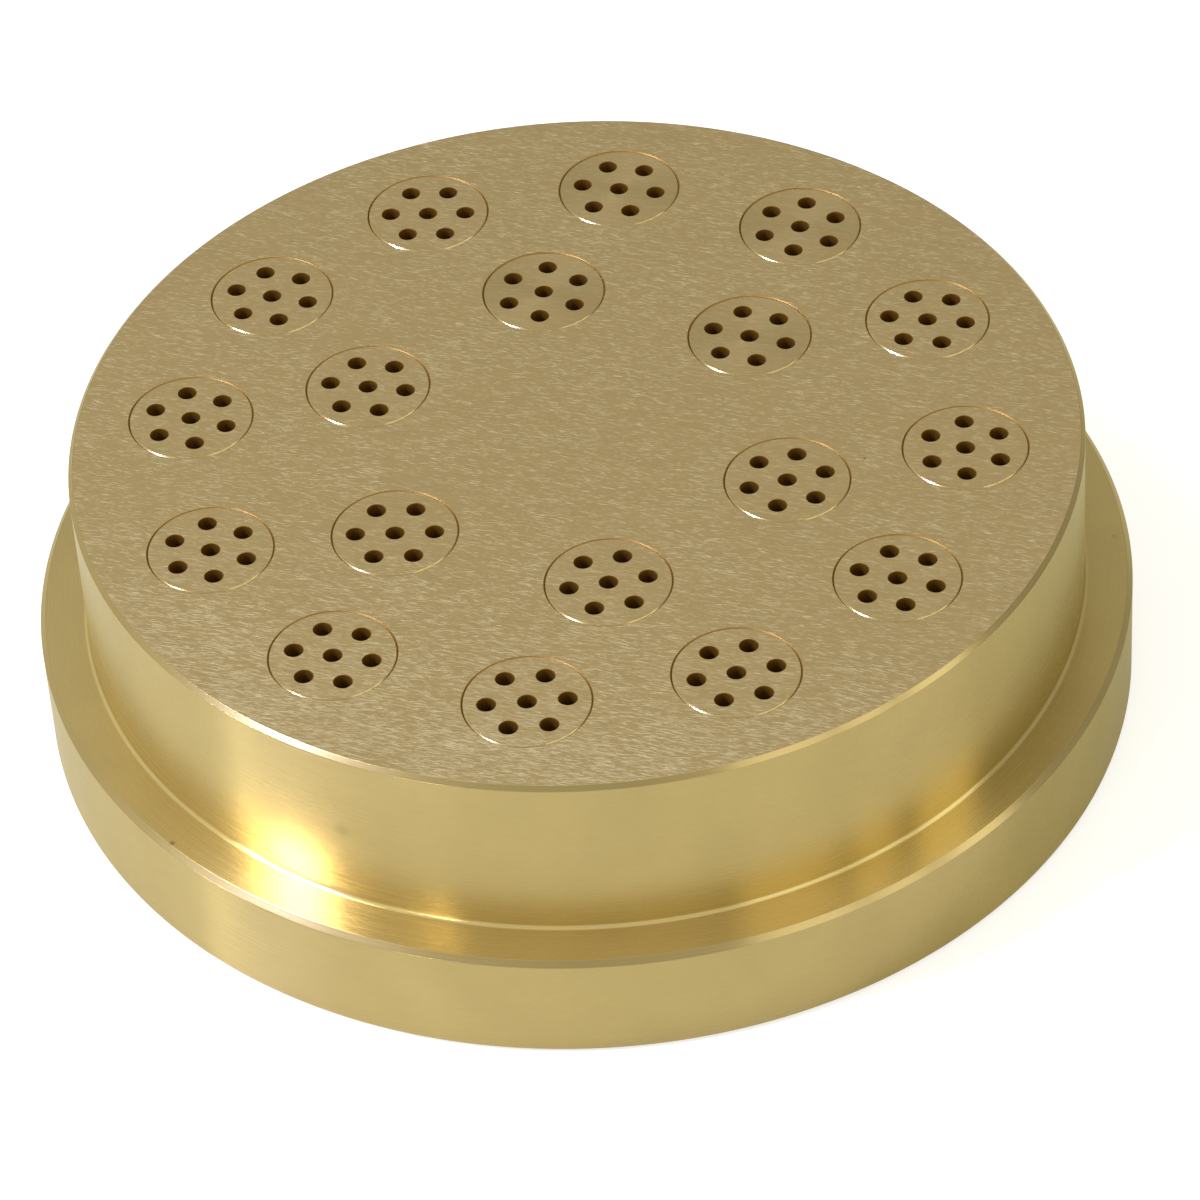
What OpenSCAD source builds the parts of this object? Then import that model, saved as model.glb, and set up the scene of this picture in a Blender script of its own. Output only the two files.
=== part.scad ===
// Pasta extrusion die: a turned bronze disc with two rings of drilled inserts pressed in from behind.
// Dough enters at the flat back, fills the chamber behind each insert and leaves the front as round strands.
// Millimetres. The back lies on z = 0, the front face looks up, and Z is the axis.

/* [Strand holes] */
// Diameter of the hole that shapes one strand
strand_d = 1.9; // [1:0.1:3]
// Length of that hole, behind the front face
land_l = 4; // [1:0.1:6]
// How far the wall of the wider feed hole behind it steps out
feed_step = 0.55; // [0.2:0.05:1]
// Metal left between two feed holes
feed_web = 1; // [0.4:0.1:2]
// Full angle of the cone left by the drill that makes a feed hole
drill_point = 118; // [90:1:140]

/* [Insert] */
// Metal between the outer feed holes and the side of the nose
nose_wall = 0.9; // [0.5:0.1:2]
// Length of the nose, from the front face to the collar
nose_l = 9; // [7:0.1:12]
// How far the collar stands out beyond the nose
collar_w = 1.1; // [0.5:0.1:1.5]
// Thickness of the collar
collar_t = 4; // [2:0.1:8]
// Chamfer round the front of the nose
nose_chamfer = 0.1; // [0.05:0.01:0.4]
// Chamfer round the back of the collar
collar_chamfer = 0.3; // [0.1:0.05:0.8]
// Gap between an insert and its bore, all round
fit_gap = 0.01; // [0.005:0.005:0.05]
// How far the faces of the low inserts lie below the front face
low_drop = 0.05; // [0:0.01:0.3]

/* [Layout of the inserts] */
// Metal between the outer chambers and the side of the boss
edge_wall = 4.6; // [2:0.1:8]
// Metal between the two rings of chambers, along a radius
ring_web = 1.85; // [1.75:0.05:4]
// Least metal between neighbours in one ring
neighbour_web = 5.5; // [2:0.1:8]

/* [Body] */
// Diameter of the boss that stands through the clamping ring
boss_d = 104.2; // [90:0.1:140]
// Height of the boss above the flange
boss_h = 19.1; // [10:0.1:30]
// Chamfer round the front face
boss_chamfer = 0.45; // [0.1:0.05:2]
// How far the flange stands out beyond the boss
flange_w = 5; // [2:0.1:12]
// Thickness of the flange
flange_t = 12.5; // [6:0.1:25]
// Chamfer on the front edge of the flange
flange_chamfer = 0.55; // [0.1:0.05:1.5]
// Chamfer round the back face
back_chamfer = 0.5; // [0.1:0.05:2]
// Radius in the corner between the boss and the flange
corner_r = 0.45; // [0.2:0.05:1]
// Chamfer at the front edge of each bore
bore_chamfer = 0.1; // [0.05:0.01:0.4]
// Lead-in chamfer at the mouth of each chamber, in the back
mouth_chamfer = 0.8; // [0.2:0.1:0.85]

/* [Hidden] */
$fn = 96;
// Overlap that makes a cut run cleanly through a face
cut = 1;

// The front face and the shoulder, and the radii of the turned body
body_h = flange_t + boss_h;
boss_r = boss_d / 2;
flange_r = boss_r + flange_w;

// An insert grows outward from its strand holes: one in the middle and a ring of six a pitch away
ring_holes = 6;
strand_r = strand_d / 2;
feed_r = strand_r + feed_step;
pitch = 2 * feed_r + feed_web;
nose_r = pitch + feed_r + nose_wall;
collar_r = nose_r + collar_w;
insert_l = nose_l + collar_t;
cone_l = feed_step / tan(drill_point / 2);

// The stepped bore: its seat carries the collar, and the chamber behind the insert is as wide as the collar
seat_z = body_h - nose_l;
bore_r = nose_r + fit_gap;
chamber_r = collar_r + fit_gap;

// Two rings of inserts, each with as many as the metal between neighbours allows
outer_ring_r = boss_r - edge_wall - collar_r;
inner_ring_r = outer_ring_r - 2 * collar_r - ring_web;
neighbour_pitch = 2 * collar_r + neighbour_web;
function how_many(ring_r) =
    2 * ring_r < neighbour_pitch ? 0 : floor(180 / asin(neighbour_pitch / (2 * ring_r)));
outer_count = how_many(outer_ring_r);
inner_count = how_many(inner_ring_r);

// The outer ring starts on X, and the inner ring half an outer pitch before it
function outer_angle(i) = 360 * i / outer_count;
function inner_angle(i) = 360 * i / inner_count - 180 / outer_count;

// How far each insert happens to be turned in its bore, in whole degrees
outer_turns = [36, 56, 25, 54, 5, 49, 45, 44, 53, 10, 18, 46];
inner_turns = [21, 46, 31, 55, 6, 16];

// The inserts that sit a little low, so that the sanding of the front passed over them
low_outer = [2, 3];
low_inner = [1, 2];
function drop(i, low) = len([for (k = low) if (k == i) k]) > 0 ? low_drop : 0;

// Node names: the body, then the inserts of each ring, numbered from 01
function two_digits(n) = n < 10 ? str("0", n) : str(n);
function outer_name(i) = str("outer_insert_", two_digits(i + 1));
function inner_name(i) = str("inner_insert_", two_digits(i + 1));

bronze = [0.74, 0.65, 0.42];
sanded_bronze = [0.69, 0.61, 0.44];

// Half section of the turned body, from the axis outward
module body_section() {
    polygon([
        [0, 0],
        [flange_r - back_chamfer, 0],
        [flange_r, back_chamfer],
        [flange_r, flange_t - flange_chamfer],
        [flange_r - flange_chamfer, flange_t],
        [boss_r, flange_t],
        [boss_r, body_h - boss_chamfer],
        [boss_r - boss_chamfer, body_h],
        [0, body_h],
    ]);
    difference() {
        translate([boss_r, flange_t]) square(corner_r);
        translate([boss_r + corner_r, flange_t + corner_r]) circle(corner_r);
    }
}

// One stepped bore, as a solid to cut away: chamber from the back, then the narrower bore of the nose
module stepped_bore() {
    mouth_l = mouth_chamfer + cut;
    chamfer_l = bore_chamfer + cut;
    translate([0, 0, -cut]) cylinder(h = seat_z + cut, r = chamber_r);
    translate([0, 0, -cut]) cylinder(h = mouth_l, r1 = chamber_r + mouth_l, r2 = chamber_r);
    cylinder(h = body_h + cut, r = bore_r);
    translate([0, 0, body_h - bore_chamfer]) cylinder(h = chamfer_l, r1 = bore_r, r2 = bore_r + chamfer_l);
}

// A place on one of the two rings
module on_ring(ring_r, angle) {
    rotate([0, 0, angle]) translate([ring_r, 0, 0]) children();
}

module die_body() {
    color(bronze) difference() {
        rotate_extrude() body_section();
        for (i = [0:1:outer_count - 1]) on_ring(outer_ring_r, outer_angle(i)) stepped_bore();
        for (i = [0:1:inner_count - 1]) on_ring(inner_ring_r, inner_angle(i)) stepped_bore();
    }
}

// Half section of an insert, from the back of its collar at zero to its front face
module insert_section(front) {
    polygon([
        [0, 0],
        [collar_r - collar_chamfer, 0],
        [collar_r, collar_chamfer],
        [collar_r, collar_t],
        [nose_r, collar_t],
        [nose_r, front - nose_chamfer],
        [nose_r - nose_chamfer, front],
        [0, front],
    ]);
}

// One strand hole, as a solid to cut away: feed hole, drill point and land
module strand_hole(front) {
    feed_l = front - land_l - cone_l;
    translate([0, 0, -cut]) cylinder(h = feed_l + cut, r = feed_r);
    translate([0, 0, feed_l]) cylinder(h = cone_l, r1 = feed_r, r2 = strand_r);
    cylinder(h = front + cut, r = strand_r);
}

// An insert in its bore, with the collar against the seat
module insert(turn, low) {
    front = insert_l - low;
    color(sanded_bronze) translate([0, 0, seat_z - collar_t]) difference() {
        rotate_extrude() insert_section(front);
        strand_hole(front);
        for (k = [0:ring_holes - 1])
            rotate([0, 0, turn + 360 * k / ring_holes]) translate([pitch, 0, 0]) strand_hole(front);
    }
}

// Turns are measured from X, so the angle of the place on the ring comes off again
module outer_insert(i) {
    turn = outer_turns[i % len(outer_turns)] - outer_angle(i);
    on_ring(outer_ring_r, outer_angle(i)) insert(turn, drop(i, low_outer));
}

module inner_insert(i) {
    turn = inner_turns[i % len(inner_turns)] - inner_angle(i);
    on_ring(inner_ring_r, inner_angle(i)) insert(turn, drop(i, low_inner));
}

die_body();
for (i = [0:1:outer_count - 1])
    outer_insert(i);
for (i = [0:1:inner_count - 1])
    inner_insert(i);
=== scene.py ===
"""Looks of a pasta extrusion die: a turned bronze disc with two rings of drilled inserts, on a white floor.
Sizes are millimetres in the part's own frame: the back on z = 0, the front face up, and Z the axis."""

import bpy
import numpy as np
from mathutils import Matrix, Vector
from mathutils.geometry import delaunay_2d_cdt


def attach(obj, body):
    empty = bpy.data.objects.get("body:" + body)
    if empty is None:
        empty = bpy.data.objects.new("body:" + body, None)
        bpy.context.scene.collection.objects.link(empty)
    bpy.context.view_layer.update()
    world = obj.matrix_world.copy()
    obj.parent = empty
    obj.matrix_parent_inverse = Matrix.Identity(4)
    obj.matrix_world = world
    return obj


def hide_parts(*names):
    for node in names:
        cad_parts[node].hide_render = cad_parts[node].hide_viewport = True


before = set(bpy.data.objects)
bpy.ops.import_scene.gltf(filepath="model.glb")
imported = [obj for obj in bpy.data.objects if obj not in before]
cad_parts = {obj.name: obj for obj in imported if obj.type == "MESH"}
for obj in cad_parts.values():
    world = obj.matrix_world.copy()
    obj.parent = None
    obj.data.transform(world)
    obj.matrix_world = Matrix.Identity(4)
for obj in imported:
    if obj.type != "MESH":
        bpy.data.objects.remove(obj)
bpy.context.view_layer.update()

# Viewpoint
# A long lens looks down on the die from the front and a little to the right.
# It is tilted, so that the right side rides up.
MM = 0.001
camera_azimuth = np.radians(9.367)
camera_elevation = np.radians(40.863)
camera_roll = np.radians(-3.866)
camera_distance = 604.25
nearest = 0.01
front_centre = np.array((0, 0, 31.6))
aim = np.array((2.692, -8.023, 15.8))
lens_mm = 176.914
film_mm = 36


def direction(azimuth, elevation):
    """Unit vector at an elevation, and at an azimuth that is counted from the front towards the right."""
    level = np.cos(elevation)
    return np.array((level * np.sin(azimuth), -level * np.cos(azimuth), np.sin(elevation)))


toward_camera = direction(camera_azimuth, camera_elevation)
camera_place = front_centre + camera_distance * toward_camera
view = Vector(aim - camera_place).normalized()
level_right = view.cross(Vector((0, 0, 1))).normalized()
level_up = level_right.cross(view)
right = level_right * np.cos(camera_roll) + level_up * np.sin(camera_roll)
up = level_up * np.cos(camera_roll) - level_right * np.sin(camera_roll)
camera_turn = Matrix((right, up, -view)).transposed().to_4x4()
camera_data = bpy.data.cameras.new("camera")
camera_data.sensor_width = film_mm
camera_data.lens = lens_mm
camera_data.clip_start = nearest
camera = bpy.data.objects.new("camera", camera_data)
camera.matrix_world = Matrix.Translation(camera_place * MM) @ camera_turn
bpy.context.scene.collection.objects.link(camera)
bpy.context.scene.camera = camera

# Die body
# One disc turned from a bronze bar: a boss on a wider flange, with eighteen stepped bores from the back.
# The sides keep the rings of the lathe. The front was sanded on a belt once the inserts were pressed in.
boss_r = 52.1
boss_chamfer = 0.45
flange_r = 57.1
flange_t = 12.5
flange_chamfer = 0.55
back_chamfer = 0.5
body_h = 31.6
corner_r = 0.45
bore_r = 6.41
bore_chamfer = 0.1
seat_z = 22.6
chamber_r = 7.51
mouth_chamfer = 0.8
outer_ring_r = 40.0
outer_count = 12
inner_ring_r = 23.15
inner_count = 6
inner_start = np.radians(-15)

# Radii of the broken edges
edge_r = 0.08
bore_edge_r = 0.02

# Points round the body and round a bore, and spans in one rounded corner of a profile
steps_round_body = 384
steps_round_bore = 96
corner_spans = 4

# How far the flats that a hole's profile starts and ends on reach: only their direction counts
beyond = 5.0

# Points are joined on a grid this fine, and level faces are filled to this tolerance
join_grid = 1e-4
fill_tolerance = 1e-6

# Which material of the body each surface takes
SIDES, FRONT, CHAMBERS, SEAMS, EDGES = range(5)


def rounded(corners, radii):
    """Profile of a turned surface with its corners rounded: points and outward normals, as (radius, height).
    The metal lies left of the run. The normal swings evenly from one run to the next, and the point lies a
    radius out along it from the arc's centre, or a radius back where the corner is an inner one. The first
    and last corners only give the flats that the profile starts and ends on."""
    corners = np.asarray(corners, float)
    runs = np.diff(corners, axis=0)
    runs /= np.linalg.norm(runs, axis=1, keepdims=True)
    sides = np.stack((runs[:, 1], -runs[:, 0]), 1)
    before, after = sides[:-1, None], sides[1:, None]
    bulge = np.sign(runs[:-1, 0] * runs[1:, 1] - runs[:-1, 1] * runs[1:, 0])[:, None, None]
    cosine = (before * after).sum(2, keepdims=True)
    swing = np.arccos(cosine)
    reach = bulge * np.asarray(radii, float)[:, None, None]
    centres = corners[1:-1, None] - reach * (before + after) / (1 + cosine)
    share = np.linspace(0, 1, corner_spans + 1)[None, :, None]
    normals = (np.sin((1 - share) * swing) * before + np.sin(share * swing) * after) / np.sin(swing)
    points = centres + reach * normals
    return points.reshape(-1, 2), normals.reshape(-1, 2)


def circle(radius, count, centre=(0, 0), start=0.0):
    """Points evenly round a circle, counted from a start angle."""
    angles = start + np.linspace(0, 2 * np.pi, count, endpoint=False)
    return np.asarray(centre) + radius * np.stack((np.cos(angles), np.sin(angles)), 1)


def turned(profile, count, finish, centre=(0, 0)):
    """Surface of revolution: the profile's radius goes round the axis and its height stays. Finish is one
    material number, or one for each span of the profile."""
    points, normals = profile
    round_axis = circle(1, count)
    flat = points[:, None, :1] * round_axis + np.asarray(centre)
    height = np.broadcast_to(points[:, None, 1:], flat.shape[:2] + (1,))
    vertices = np.concatenate((flat, height), 2).reshape(-1, 3)
    lean = np.broadcast_to(normals[:, None, 1:], flat.shape[:2] + (1,))
    outward = np.concatenate((normals[:, None, :1] * round_axis, lean), 2).reshape(-1, 3)
    spans = len(points) - 1
    row = np.arange(spans)[:, None] * count
    here = np.arange(count)[None]
    after = (here + 1) % count
    faces = np.stack((row + here, row + after, row + count + after, row + count + here), 2).reshape(-1, 4)
    finishes = np.repeat(np.broadcast_to(finish, spans), count)
    return vertices, faces, outward[faces], finishes


def flat_face(outlines, height, facing, finish):
    """Level face between an outer outline and the outlines of its holes, filled with triangles. Those whose
    middle lies inside a hole are dropped."""
    points = np.concatenate(outlines)
    ends = np.cumsum([len(outline) for outline in outlines])
    loops = [np.arange(end - len(outline), end) for outline, end in zip(outlines, ends)]
    edges = np.concatenate([np.stack((loop, np.roll(loop, -1)), 1) for loop in loops])
    within_outlines = 1
    filled = delaunay_2d_cdt(points.tolist(), edges.tolist(), [], within_outlines, fill_tolerance)
    _, _, triangles, origins, _, _ = filled
    source = np.array([origin[0] for origin in origins])
    faces = source[np.array(triangles)][:, ::facing]
    middles = points[faces].mean(1)
    holes = np.array([outline.mean(0) for outline in outlines[1:]])
    hole_r = np.linalg.norm(outlines[1][0] - holes[0])
    faces = faces[np.linalg.norm(middles[:, None] - holes, axis=2).min(1) > hole_r]
    vertices = np.column_stack((points, np.full(len(points), height)))
    outward = np.broadcast_to((0.0, 0.0, facing), faces.shape + (3,))
    return vertices, faces, outward, np.full(len(faces), finish)


def metal_piece(name, surfaces, materials):
    """One closed mesh from surfaces that share their edges: points that fall together are joined, and each
    corner keeps the normal of its own surface."""
    vertices, faces, outward, finishes = zip(*surfaces)
    starts = np.cumsum([0] + [len(part) for part in vertices[:-1]])
    points = np.concatenate(vertices)
    grid = np.round(points / join_grid).astype(np.int64)
    _, kept, joined = np.unique(grid, axis=0, return_index=True, return_inverse=True)
    corners = np.concatenate([joined[part + start].ravel() for part, start in zip(faces, starts)])
    sizes = np.concatenate([np.full(len(part), part.shape[1]) for part in faces])
    mesh = bpy.data.meshes.new(name)
    mesh.vertices.add(len(kept))
    mesh.vertices.foreach_set("co", (points[kept] * MM).ravel())
    mesh.loops.add(len(corners))
    mesh.loops.foreach_set("vertex_index", corners)
    mesh.polygons.add(len(sizes))
    mesh.polygons.foreach_set("loop_start", np.cumsum(sizes) - sizes)
    mesh.polygons.foreach_set("material_index", np.concatenate(finishes))
    mesh.polygons.foreach_set("use_smooth", np.ones(len(sizes), bool))
    mesh.update(calc_edges=True)
    mesh.normals_split_custom_set(np.concatenate([part.reshape(-1, 3) for part in outward]))
    for material in materials:
        mesh.materials.append(material)
    piece = bpy.data.objects.new(name, mesh)
    bpy.context.scene.collection.objects.link(piece)
    return piece


def colour(red, green, blue):
    """Linear colour of screen values from 0 to 255, by the standard curve of a screen."""
    screen = np.array((red, green, blue)) / 255
    return (*np.where(screen > 0.04045, ((screen + 0.055) / 1.055) ** 2.4, screen / 12.92), 1.0)


def place(tree, kind, inputs=(), **settings):
    """Adds a shader node with its settings, and feeds each input with a value or another node's output."""
    made = tree.nodes.new("ShaderNode" + kind)
    for name, value in settings.items():
        setattr(made, name, value)
    for name, value in dict(inputs).items():
        if isinstance(value, bpy.types.NodeSocket):
            tree.links.new(value, made.inputs[name])
        else:
            made.inputs[name].default_value = value
    return made


def work_out(tree, operation, *values):
    """Result of a sum on one or two values."""
    return place(tree, "Math", dict(enumerate(values)), operation=operation).outputs[0]


def spread(tree, value, start, end, low=0.0, high=1.0, steps="LINEAR"):
    """The value carried over from the range start to end to the range low to high, and held beyond it."""
    ranges = {"Value": value, "From Min": start, "From Max": end, "To Min": low, "To Max": high}
    return place(tree, "MapRange", ranges, interpolation_type=steps).outputs[0]


def blend(tree, share, first, second):
    """The first value where the share is 0 and the second where it is 1."""
    return place(tree, "Mix", {0: share, 2: first, 3: second}).outputs[0]


def length(tree, vector):
    """Length of a vector."""
    return place(tree, "VectorMath", {0: vector}, operation="LENGTH").outputs["Value"]


def scaled(tree, vector, factor):
    """A vector or colour times a factor."""
    return place(tree, "VectorMath", {0: vector, "Scale": factor}, operation="SCALE").outputs[0]


def new_group(name, inputs, outputs):
    """Empty shader group with named sockets. Returns its tree, what enters it and what leaves it."""
    tree = bpy.data.node_groups.new(name, "ShaderNodeTree")
    for socket, kind in inputs.items():
        tree.interface.new_socket(socket, in_out="INPUT", socket_type="NodeSocket" + kind)
    for socket, kind in outputs.items():
        tree.interface.new_socket(socket, in_out="OUTPUT", socket_type="NodeSocket" + kind)
    entry = tree.nodes.new("NodeGroupInput")
    leave = tree.nodes.new("NodeGroupOutput")
    return tree, entry.outputs, leave.inputs


def new_material(name):
    """Empty node material. Returns it, its tree and the surface socket to fill."""
    material = bpy.data.materials.new(name)
    material.use_nodes = True
    material.node_tree.nodes.clear()
    surface = place(material.node_tree, "OutputMaterial").inputs["Surface"]
    return material, material.node_tree, surface


def millimetres(tree):
    """Object coordinates in millimetres."""
    return scaled(tree, place(tree, "TexCoord").outputs["Object"], 1 / MM)


# Rings left by the lathe: flats with grooves between them, the same all the way round the axis
ring_width = 0.015
ring_detail = 1.0
groove_range = (0.5, 0.75)
lathe_rings, entry, leave = new_group("lathe_rings", {"Place": "Vector", "Width": "Float"},
                                      {"Height": "Float"})
x, y, z = place(lathe_rings, "SeparateXYZ", {0: entry["Place"]}).outputs
flat_place = place(lathe_rings, "CombineXYZ", {0: x, 1: y}).outputs[0]
across = work_out(lathe_rings, "SUBTRACT", length(lathe_rings, flat_place), z)
across = work_out(lathe_rings, "DIVIDE", across, entry["Width"])
rings = place(lathe_rings, "TexNoise", {"W": across, "Scale": 1.0, "Detail": ring_detail},
              noise_dimensions="1D").outputs[0]
lathe_rings.links.new(spread(lathe_rings, rings, *groove_range), leave["Height"])

# Handling marks: a faint cloud of tarnish over the metal, as a factor on its colour
cloud_size = 9.0
cloud_depth = 0.06
cloud_detail = 4.0
cloud_range = (0.35, 0.65)
tarnish, entry, leave = new_group("tarnish", {"Place": "Vector", "Cloud": "Float", "Depth": "Float"},
                                  {"Shade": "Float"})
finer = work_out(tarnish, "DIVIDE", 1.0, entry["Cloud"])
cloud = place(tarnish, "TexNoise", {"Vector": entry["Place"], "Scale": finer,
                                    "Detail": cloud_detail}).outputs[0]
low_shade = work_out(tarnish, "SUBTRACT", 1.0, entry["Depth"])
tarnish.links.new(spread(tarnish, cloud, *cloud_range, low_shade, 1.0), leave["Shade"])

# Specks of dirt: the place of each, its radius and how dark it is, together a factor on the colour.
# A speck is even up to a part of its radius, and fades from there.
speck_list = (
    ((-17.7, -49.0, 21.7), 1.2, 0.88),
    ((-36.6, -42.8, 12.5), 0.4, 0.5),
    ((54.8, 8.6, 12.5), 0.3, 0.75),
    ((29.9, -2.3, 31.6), 0.25, 0.6),
)
even_part = 1 / 3
specks, entry, leave = new_group("specks", {"Place": "Vector"}, {"Shade": "Float"})
clean = 1.0
for spot, radius, dark in speck_list:
    away = place(specks, "VectorMath", {0: entry["Place"], 1: spot}, operation="DISTANCE").outputs["Value"]
    shade = spread(specks, away, radius * even_part, radius, dark, 1.0, "SMOOTHSTEP")
    clean = work_out(specks, "MULTIPLY", clean, shade)
specks.links.new(clean, leave["Shade"])

# Marks of the sanding belt: short scratches from two passes, and finer hairlines between them. The scratches
# are painted pale, as painted glints. The belt pressed harder towards the front edge, so the scratches, and
# their painted glints, lie closer there.
belt_angle = np.radians(8.5)
pass_angles = np.radians((1.0, 16.0))
pass_offset = 50.0
scratch_size = (1.3, 0.085, 1.0)
scratch_detail = 1.0
hairline_size = (6.0, 0.05, 1.0)
hairline_detail = 3.0
patch_size = 7.0
noise_range = (0.3, 0.7)
scratch_start = (0.665, 0.63)
scratch_rise = 0.06
press_from = -20.0
press_full = -46.0
press_gain = 0.06
belt_marks, entry, leave = new_group("belt_marks", {"Place": "Vector", "Amount": "Float"},
                                     {"ScratchesAndGlints": "Float", "Hairlines": "Float", "Height": "Float"})
along = place(belt_marks, "Mapping", {"Vector": entry["Place"], "Rotation": (0, 0, belt_angle)}).outputs[0]
patches = place(belt_marks, "TexNoise", {"Vector": entry["Place"], "Scale": 1 / patch_size}).outputs[0]
across_belt = place(belt_marks, "SeparateXYZ", {0: along}).outputs[1]
pressed = spread(belt_marks, across_belt, press_from, press_full, 0.0, press_gain)
start = work_out(belt_marks, "SUBTRACT", spread(belt_marks, patches, *noise_range, *scratch_start), pressed)
full = work_out(belt_marks, "ADD", start, scratch_rise)
# The scratch mask gives their relief, and where their painted glints go
scratches = 0.0
for number, angle in enumerate(pass_angles):
    run = place(belt_marks, "Mapping", {"Vector": entry["Place"], "Rotation": (0, 0, angle),
                                        "Location": (0, 0, pass_offset * number)}).outputs[0]
    run = place(belt_marks, "VectorMath", {0: run, 1: scratch_size}, operation="DIVIDE").outputs[0]
    noise = place(belt_marks, "TexNoise", {"Vector": run, "Scale": 1.0, "Detail": scratch_detail}).outputs[0]
    scratches = work_out(belt_marks, "MAXIMUM", scratches, spread(belt_marks, noise, start, full))
scratches = work_out(belt_marks, "MULTIPLY", scratches, entry["Amount"])
run = place(belt_marks, "VectorMath", {0: along, 1: hairline_size}, operation="DIVIDE").outputs[0]
hairlines = place(belt_marks, "TexNoise", {"Vector": run, "Scale": 1.0, "Detail": hairline_detail}).outputs[0]
belt_marks.links.new(scratches, leave["ScratchesAndGlints"])
belt_marks.links.new(hairlines, leave["Hairlines"])
belt_marks.links.new(work_out(belt_marks, "SUBTRACT", hairlines, scratches), leave["Height"])

# Finishes of the bronze: at a grazing angle it stays yellow, and a highlight smears across the grain.
# The flats of the rings are smoother than their grooves, and hairlines lighten and darken a sanded face.
grazing_tint = (1.0, 1.0, 0.82, 1.0)
quarter_turn = 0.25
flat_polish = 0.02
groove_roughness = 0.06
hairline_shades = (0.92, 1.07)
belt_relief = 0.25
belt_depth = 0.03
side_tint = colour(201, 179, 113)
edge_tint = colour(184, 162, 104)
front_tint = colour(183, 160, 107)
# Painted glint: the pale colour that the scratches take in place of the light they catch
scratch_glint_tint = colour(236, 221, 176)
chamber_tint = colour(184, 158, 100)
seam_tint = colour(142, 108, 50)


def turned_bronze(name, tint, roughness, grain, ring_depth=0.02, metallic=1.0):
    """Bronze as the lathe leaves it, faintly clouded: its rings smear each highlight across them."""
    material, tree, surface = new_material(name)
    where = millimetres(tree)
    clouds = place(tree, "Group", {"Place": where, "Cloud": cloud_size, "Depth": cloud_depth},
                   node_tree=tarnish)
    dirt = place(tree, "Group", {"Place": where}, node_tree=specks)
    clean = work_out(tree, "MULTIPLY", clouds.outputs["Shade"], dirt.outputs["Shade"])
    rings = place(tree, "Group", {"Place": where, "Width": ring_width}, node_tree=lathe_rings)
    height = rings.outputs["Height"]
    rough = spread(tree, height, 0.0, 1.0, roughness - flat_polish, roughness + groove_roughness)
    bump = place(tree, "Bump", {"Height": height, "Strength": 1.0, "Distance": ring_depth * MM})
    metal = place(tree, "BsdfPrincipled", {
        "Base Color": scaled(tree, tint[:3], clean),
        "Metallic": metallic,
        "Roughness": rough,
        "Specular Tint": grazing_tint,
        "Anisotropic": grain,
        "Anisotropic Rotation": quarter_turn,
        "Normal": bump.outputs[0],
    })
    tree.links.new(metal.outputs[0], surface)
    return material


def sanded_bronze(name, tint, scratch_and_glint_amount, roughness, grain):
    """Bronze off the sanding belt: short scratches with painted glints, over fine hairlines, nearly in one
    direction.
    """
    material, tree, surface = new_material(name)
    where = millimetres(tree)
    marks = place(tree, "Group", {"Place": where, "Amount": scratch_and_glint_amount}, node_tree=belt_marks).outputs
    dirt = place(tree, "Group", {"Place": where}, node_tree=specks)
    shaded = scaled(tree, tint[:3], spread(tree, marks["Hairlines"], *noise_range, *hairline_shades))
    # Painted glints: the scratches take the pale colour
    mixed = place(tree, "Mix", {0: marks["ScratchesAndGlints"], 6: shaded, 7: scratch_glint_tint},
                  data_type="RGBA").outputs[2]
    bump = place(tree, "Bump", {"Height": marks["Height"], "Strength": belt_relief,
                                "Distance": belt_depth * MM})
    metal = place(tree, "BsdfPrincipled", {
        "Base Color": scaled(tree, mixed, dirt.outputs["Shade"]),
        "Metallic": 1.0,
        "Roughness": roughness,
        "Anisotropic": grain,
        "Anisotropic Rotation": quarter_turn,
        "Normal": bump.outputs[0],
    })
    tree.links.new(metal.outputs[0], surface)
    return material


side_bronze = turned_bronze("turned_bronze", side_tint, roughness=0.23, grain=1.0, ring_depth=0.0005,
                            metallic=0.88)
edge_bronze = turned_bronze("edge_bronze", edge_tint, roughness=0.22, grain=0.0, ring_depth=0.0)
front_bronze = sanded_bronze("sanded_bronze", front_tint, scratch_and_glint_amount=0.62, roughness=0.42, grain=0.0)
chamber_bronze = turned_bronze("bored_bronze", chamber_tint, roughness=0.45, grain=0.3)
seam_bronze = turned_bronze("seam_bronze", seam_tint, roughness=0.5, grain=0.0, ring_depth=0.0)

body_profile = rounded(
    [
        (0, 0),
        (flange_r - back_chamfer, 0),
        (flange_r, back_chamfer),
        (flange_r, flange_t - flange_chamfer),
        (flange_r - flange_chamfer, flange_t),
        (boss_r, flange_t),
        (boss_r, body_h - boss_chamfer),
        (boss_r - boss_chamfer, body_h),
        (0, body_h),
    ],
    [edge_r, edge_r, edge_r, edge_r, corner_r, edge_r, edge_r],
)
bore_profile = rounded(
    [
        (bore_r + beyond, body_h),
        (bore_r + bore_chamfer, body_h),
        (bore_r, body_h - bore_chamfer),
        (bore_r, seat_z),
        (chamber_r, seat_z),
        (chamber_r, mouth_chamfer),
        (chamber_r + mouth_chamfer, 0),
        (chamber_r + beyond, 0),
    ],
    [bore_edge_r, bore_edge_r, edge_r, edge_r, edge_r, edge_r],
)

# A chamfer takes the spans of two rounded corners and the one between them. On the body, chamfers start at
# these corners of the profile. On a bore, the first one makes the seam round the insert.
chamfer_spans = 2 * corner_spans + 1
chamfer_corners = (0, 2, 5)
body_finishes = np.full(len(body_profile[0]) - 1, SIDES)
for corner in chamfer_corners:
    first_span = (corner_spans + 1) * corner
    body_finishes[first_span:first_span + chamfer_spans] = EDGES
bore_finishes = np.where(np.arange(len(bore_profile[0]) - 1) < chamfer_spans, SEAMS, CHAMBERS)

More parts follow.
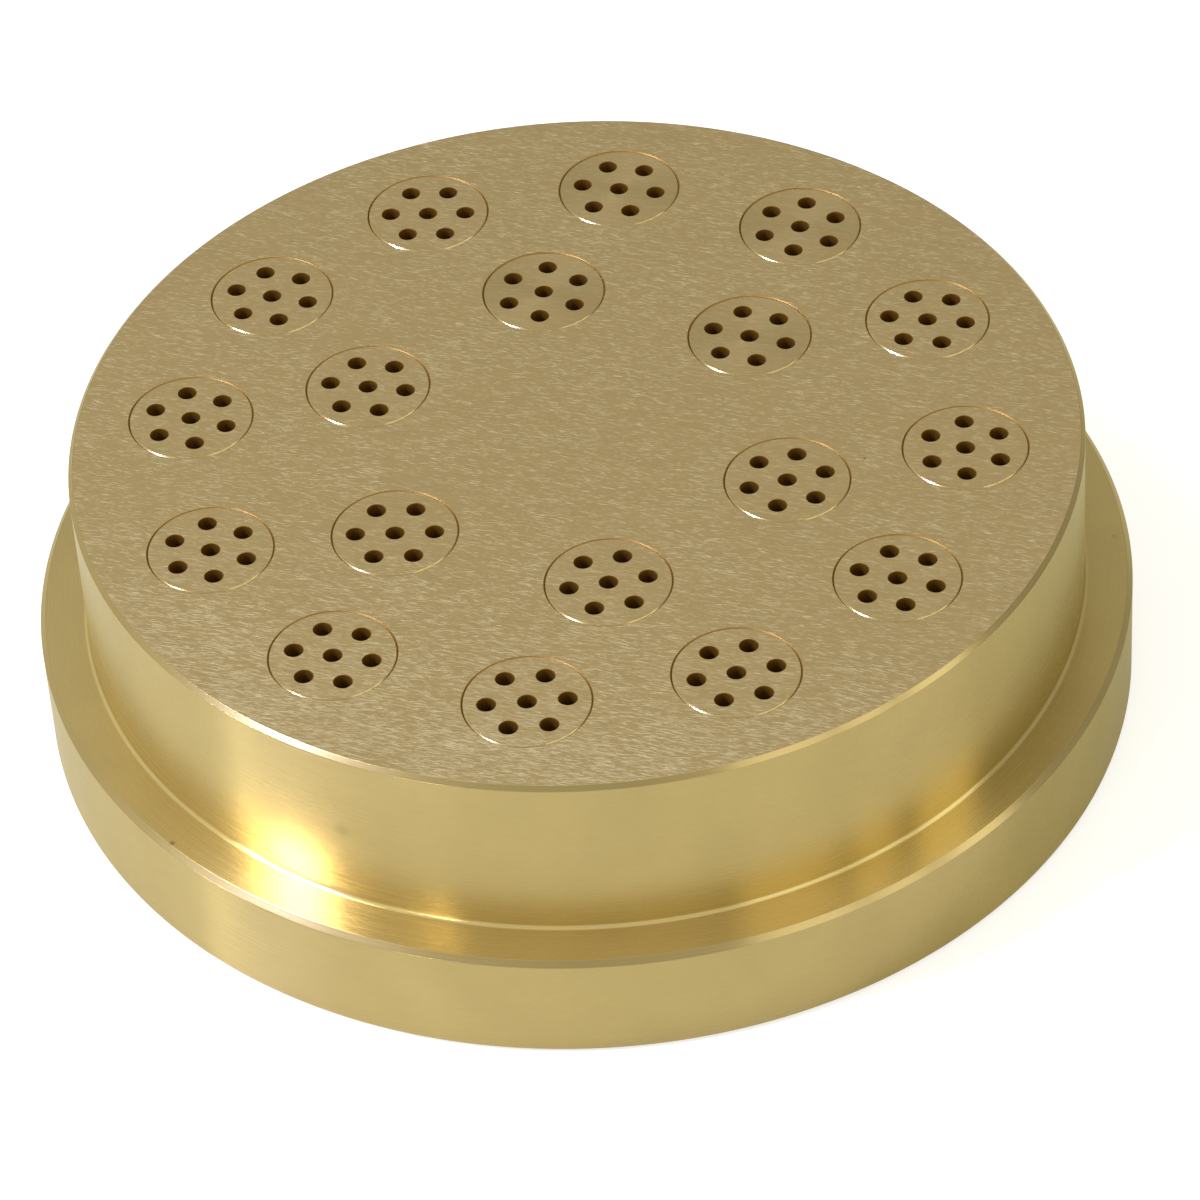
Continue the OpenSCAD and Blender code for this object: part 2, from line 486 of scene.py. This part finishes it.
outer_places = circle(outer_ring_r, outer_count)
inner_places = circle(inner_ring_r, inner_count, start=inner_start)
bore_places = np.concatenate((outer_places, inner_places))
front_outlines = [circle(body_profile[0][-1, 0], steps_round_body)]
front_outlines += [circle(bore_profile[0][0, 0], steps_round_bore, spot) for spot in bore_places]
back_outlines = [circle(body_profile[0][0, 0], steps_round_body)]
back_outlines += [circle(bore_profile[0][-1, 0], steps_round_bore, spot) for spot in bore_places]
body_surfaces = [
    turned(body_profile, steps_round_body, body_finishes),
    flat_face(front_outlines, body_h, 1, FRONT),
    flat_face(back_outlines, 0, -1, SIDES),
]
body_surfaces += [turned(bore_profile, steps_round_bore, bore_finishes, spot) for spot in bore_places]
body_materials = [side_bronze, front_bronze, chamber_bronze, seam_bronze, edge_bronze]
body = metal_piece("body", body_surfaces, body_materials)
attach(body, "root")
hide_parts("die_body")

# Inserts
# Eighteen bronze plugs, pressed in from behind until the collar seats, each drilled with six holes round one.
# Most were sanded with the front. Four sit a little low, so the belt hardly marked them.
nose_r = 6.4
nose_chamfer = 0.1
collar_r = 7.5
collar_t = 4.0
collar_chamfer = 0.3
strand_r = 0.95
land_l = 4.0
feed_r = 1.5
drill_point = np.radians(118)
hole_pitch = 4.0
ring_holes = 6
low_drop = 0.05
hole_edge_r = 0.05
steps_round_hole = 40

# How far each insert is turned in its bore, in degrees, and which ones sit low
outer_turns = (36, 56, 25, 54, 5, 49, 45, 44, 53, 10, 18, 46)
inner_turns = (21, 46, 31, 55, 6, 16)
low_inserts = ("outer_insert_03", "outer_insert_04", "inner_insert_02", "inner_insert_03")

# Which material of an insert each surface takes
FACE, NOSE, HOLES = range(3)

hole_tint = colour(124, 86, 20)
nose_tint = colour(188, 165, 106)
face_bronze = sanded_bronze("sanded_insert", front_tint, scratch_and_glint_amount=0.5, roughness=0.42, grain=0.0)
low_bronze = sanded_bronze("turned_insert", front_tint, scratch_and_glint_amount=0.25, roughness=0.40, grain=0.3)
nose_bronze = turned_bronze("nose_bronze", nose_tint, roughness=0.22, grain=0.0, ring_depth=0.0)
hole_bronze = turned_bronze("drilled_bronze", hole_tint, roughness=0.6, grain=0.0, ring_depth=0.0,
                            metallic=0.7)


def insert(name, spot, turn, front, face_material):
    """A plug on its place in a ring: turned outside, two level faces, and a stepped hole for each strand."""
    back = seat_z - collar_t
    cone_l = (feed_r - strand_r) / np.tan(drill_point / 2)
    outside = rounded(
        [
            (0, back),
            (collar_r - collar_chamfer, back),
            (collar_r, back + collar_chamfer),
            (collar_r, seat_z),
            (nose_r, seat_z),
            (nose_r, front - nose_chamfer),
            (nose_r - nose_chamfer, front),
            (0, front),
        ],
        [edge_r, edge_r, edge_r, edge_r, bore_edge_r, bore_edge_r],
    )
    strand = rounded(
        [
            (strand_r + beyond, front),
            (strand_r, front),
            (strand_r, front - land_l),
            (feed_r, front - land_l - cone_l),
            (feed_r, back),
            (feed_r + beyond, back),
        ],
        [hole_edge_r, hole_edge_r, hole_edge_r, hole_edge_r],
    )
    ring = circle(hole_pitch, ring_holes, start=np.radians(turn))
    holes = np.concatenate((np.zeros((1, 2)), ring)) + spot
    front_outlines = [circle(outside[0][-1, 0], steps_round_bore, spot)]
    front_outlines += [circle(strand[0][0, 0], steps_round_hole, hole) for hole in holes]
    back_outlines = [circle(outside[0][0, 0], steps_round_bore, spot)]
    back_outlines += [circle(strand[0][-1, 0], steps_round_hole, hole) for hole in holes]
    surfaces = [
        turned(outside, steps_round_bore, NOSE, spot),
        flat_face(front_outlines, front, 1, FACE),
        flat_face(back_outlines, back, -1, NOSE),
    ]
    surfaces += [turned(strand, steps_round_hole, HOLES, hole) for hole in holes]
    piece = metal_piece(name + "_plug", surfaces, [face_material, nose_bronze, hole_bronze])
    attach(piece, "root")
    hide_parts(name)


insert_names = [f"outer_insert_{number:02d}" for number in range(1, outer_count + 1)]
insert_names += [f"inner_insert_{number:02d}" for number in range(1, inner_count + 1)]
for name, spot, turn in zip(insert_names, bore_places, outer_turns + inner_turns):
    low = name in low_inserts
    insert(name, spot, turn, body_h - low_drop if low else body_h, low_bronze if low else face_bronze)

# Floor and studio
# A white sweep under a white tent. Lamps on the left draw the bright streaks on the turned metal.
# Seams between the panels of the tent draw the dark ones on the right, and behind the die it is darker.
white = (1, 1, 1, 1)

# The floor lies a hair below the back. It glows to the camera, and less to metal that mirrors it, but not
# where the die covers it.
floor_half = 3.0
floor_z = -0.00002
floor_tint = (0.455, 0.445, 0.36, 1.0)
floor_glow = 0.65
mirrored_glow = 0.15
covered_r = flange_r - back_chamfer
floor_mesh = bpy.data.meshes.new("floor")
floor_sides = ((-1, -1), (1, -1), (1, 1), (-1, 1))
floor_corners = [(floor_half * x, floor_half * y, floor_z) for x, y in floor_sides]
floor_mesh.from_pydata(floor_corners, [], [(0, 1, 2, 3)])
floor = bpy.data.objects.new("floor", floor_mesh)
bpy.context.scene.collection.objects.link(floor)
floor_material, tree, surface = new_material("white_sweep")
path = place(tree, "LightPath").outputs
mirrored = work_out(tree, "MAXIMUM", path["Is Glossy Ray"], path["Is Transmission Ray"])
glow_level = work_out(tree, "MULTIPLY", mirrored, mirrored_glow)
glow_level = blend(tree, path["Is Camera Ray"], glow_level, floor_glow)
off_axis = length(tree, place(tree, "TexCoord").outputs["Object"])
uncovered = work_out(tree, "GREATER_THAN", off_axis, covered_r * MM)
glow_level = work_out(tree, "MULTIPLY", glow_level, uncovered)
lit = place(tree, "BsdfDiffuse", {"Color": floor_tint})
glow = place(tree, "Emission", {"Color": white, "Strength": glow_level})
both = place(tree, "AddShader", {0: lit.outputs[0], 1: glow.outputs[0]})
tree.links.new(both.outputs[0], surface)
floor_mesh.materials.append(floor_material)

# Levels of the tent, by the way a wall of the die faces to mirror them to the photo's viewpoint: each holds
# from its azimuth, in degrees, to the next. Where only level faces mirror the tent, behind the die, it is
# even, and so it is at the top.
tent_levels = (
    (-180, 0.55),
    (-80, 0.85),
    (-40, 0.95),
    (21.7, 0.1),
    (23.3, 1.65),
    (35.6, 0.3),
    (37.4, 1.8),
    (43.5, 0.5),
    (46.5, 1.9),
    (55.5, 0.5),
    (91, 0.55),
)
seam_edge = np.radians(0.5)
back_level = 0.55
back_reach = (0.1, 0.35)
top_level = 1.0
top_reach = (0.85, 0.97)
shown_level = 1.0

# The camera and its stand darken a patch of the tent in front: half width, heights and soft edge, in degrees
stand_half = 36.0
stand_heights = (38, 54)
stand_edge = 5.0
stand_shade = 0.65

# The tent: its level in a direction, as a sum of smooth steps round the die
tent_shade, entry, leave = new_group("tent_shade", {"Direction": "Vector"}, {"Level": "Float"})
x, y, z = place(tent_shade, "SeparateXYZ", {0: entry["Direction"]}).outputs
facing_x = work_out(tent_shade, "ADD", x, toward_camera[0])
facing_y = work_out(tent_shade, "ADD", y, toward_camera[1])
ahead = work_out(tent_shade, "MULTIPLY", facing_y, -1.0)
facing = work_out(tent_shade, "ARCTAN2", facing_x, ahead)
level = tent_levels[0][1]
for (_, before), (degrees, after) in zip(tent_levels, tent_levels[1:]):
    edge = np.radians(degrees)
    step = spread(tent_shade, facing, edge - seam_edge, edge + seam_edge, 0.0, after - before, "SMOOTHSTEP")
    level = work_out(tent_shade, "ADD", level, step)
facing_flat = place(tent_shade, "CombineXYZ", {0: facing_x, 1: facing_y}).outputs[0]
by_wall = spread(tent_shade, length(tent_shade, facing_flat), *back_reach, steps="SMOOTHSTEP")
level = blend(tent_shade, by_wall, back_level, level)
ahead = work_out(tent_shade, "MULTIPLY", y, -1.0)
aside = work_out(tent_shade, "ABSOLUTE", work_out(tent_shade, "ARCTAN2", x, ahead))
elevation = work_out(tent_shade, "ARCSINE", z)
outer_edge = np.radians(stand_half + stand_edge)
inner_edge = np.radians(stand_half - stand_edge)
patch = spread(tent_shade, aside, outer_edge, inner_edge, steps="SMOOTHSTEP")
for height, way in zip(stand_heights, (1, -1)):
    outer_edge = np.radians(height - way * stand_edge)
    inner_edge = np.radians(height + way * stand_edge)
    inside = spread(tent_shade, elevation, outer_edge, inner_edge, steps="SMOOTHSTEP")
    patch = work_out(tent_shade, "MULTIPLY", patch, inside)
level = work_out(tent_shade, "MULTIPLY", level, spread(tent_shade, patch, 0.0, 1.0, 1.0, stand_shade))
top = spread(tent_shade, z, *top_reach, steps="SMOOTHSTEP")
tent_shade.links.new(blend(tent_shade, top, level, top_level), leave["Level"])

world = bpy.data.worlds.new("tent")
world.use_nodes = True
tree = world.node_tree
tree.nodes.clear()
around = place(tree, "TexCoord").outputs["Generated"]
shade = place(tree, "Group", {"Direction": around}, node_tree=tent_shade).outputs["Level"]
direct = place(tree, "LightPath").outputs["Is Camera Ray"]
tent = place(tree, "Background", {"Color": white, "Strength": blend(tree, direct, shade, shown_level)})
tree.links.new(tent.outputs[0], place(tree, "OutputWorld").inputs["Surface"])
bpy.context.scene.world = world

# Lamps: two upright strips, a bluish softbox and one lamp higher up
lamp_distance = 1.2
softbox_light = (0.87, 0.95, 2.0)
lamp_light = (1.0, 1.0, 1.1)


def lamp(name, azimuth, elevation, width, height, level, light):
    """Flat lamp that faces the die, in metres, as many times brighter than white paper as its level says."""
    data = bpy.data.lights.new(name, "AREA")
    data.shape = "RECTANGLE"
    data.size = width
    data.size_y = height
    data.color = light
    data.energy = level * np.pi * width * height
    piece = bpy.data.objects.new(name, data)
    way = Vector(direction(np.radians(azimuth), np.radians(elevation)))
    turn = way.to_track_quat("Z", "Y").to_matrix().to_4x4()
    piece.matrix_world = Matrix.Translation(way * lamp_distance) @ turn
    piece.visible_camera = False
    bpy.context.scene.collection.objects.link(piece)


lamp("strip", azimuth=-63, elevation=9, width=0.05, height=0.3, level=75, light=lamp_light)
lamp("softbox", azimuth=-64, elevation=43, width=0.2, height=0.22, level=66, light=softbox_light)
lamp("high_lamp", azimuth=-92, elevation=60, width=0.14, height=0.3, level=34, light=lamp_light)
lamp("far_strip", azimuth=-25, elevation=22, width=0.05, height=0.3, level=26, light=lamp_light)
bpy.context.scene.view_settings.view_transform = "Standard"
